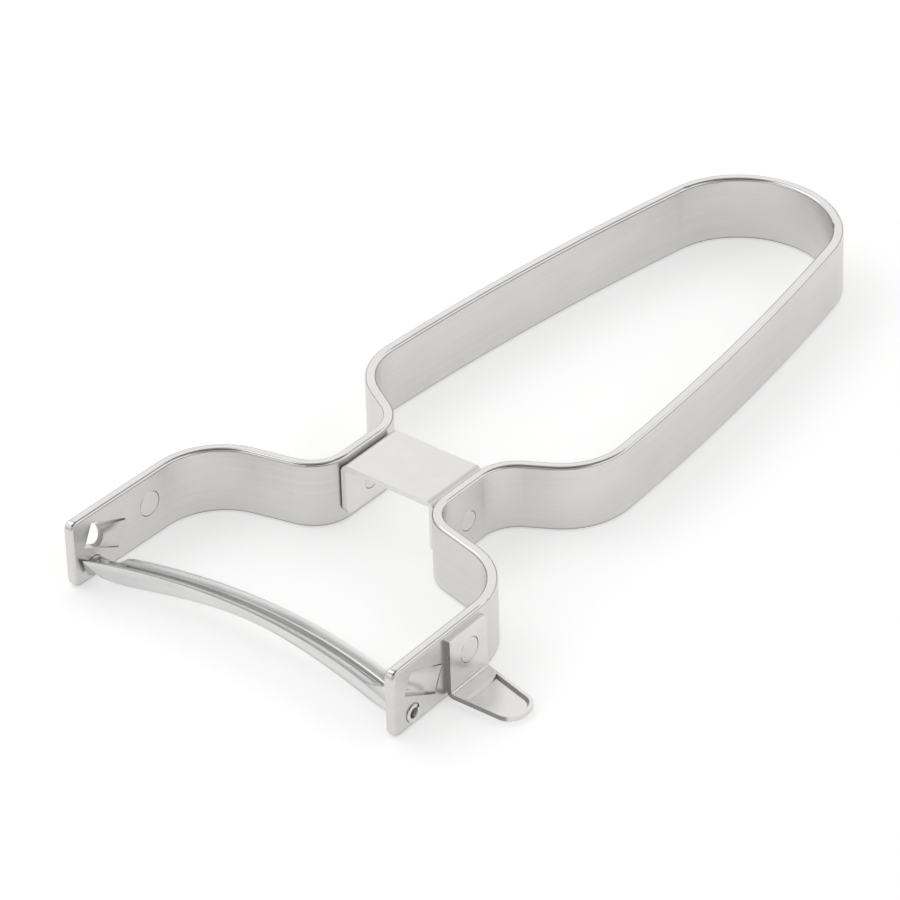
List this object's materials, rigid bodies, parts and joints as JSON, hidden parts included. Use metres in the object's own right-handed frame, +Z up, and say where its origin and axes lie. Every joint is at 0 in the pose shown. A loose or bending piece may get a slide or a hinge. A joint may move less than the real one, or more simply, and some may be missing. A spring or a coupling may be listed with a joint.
{
  "type": "vegetable peeler",
  "caption": "All-metal peeler: bowed slotted blade swinging in the fork of a bent strip handle, with a riveted bridge, arm plates and a spoon-shaped eye cutter.",
  "frame": {"origin": "under the middle of the handle's rear end, on the centreline of the strip, in the plane the peeler lies on", "axes": "+X to the arm with the eye cutter, +Y from the blade to the rear of the handle, +Z up from the surface the peeler lies on"},
  "size_m": [0.0728, 0.1369, 0.011],
  "materials": {
    "strip_steel": "satin, fine brushed along the strip, edges rounded and brighter",
    "plate_steel": "tumbled matt sheet",
    "cutter_steel": "satin sheet, pressed dish slightly brighter",
    "rivet_steel": "ground flush",
    "blade_steel": "polished sheet with a ground cutting edge"
  },
  "bodies": {
    "handle": {"frame_strip": "strip_steel", "bridge": "plate_steel", "bridge_rivet_left": "rivet_steel", "bridge_rivet_right": "rivet_steel", "eye_cutter": "cutter_steel", "eye_cutter_rivet": "rivet_steel", "side_plate": "plate_steel", "side_plate_rivet": "rivet_steel"},
    "blade": {"blade": "blade_steel"}
  },
  "joints": [
    {"name": "blade_swivel", "type": "hinge", "parent": "handle", "child": "blade", "pos_m": [0, -0.13196, 0.0022], "axis": [1, 0, 0], "range_deg": [-35, 70]}
  ]
}
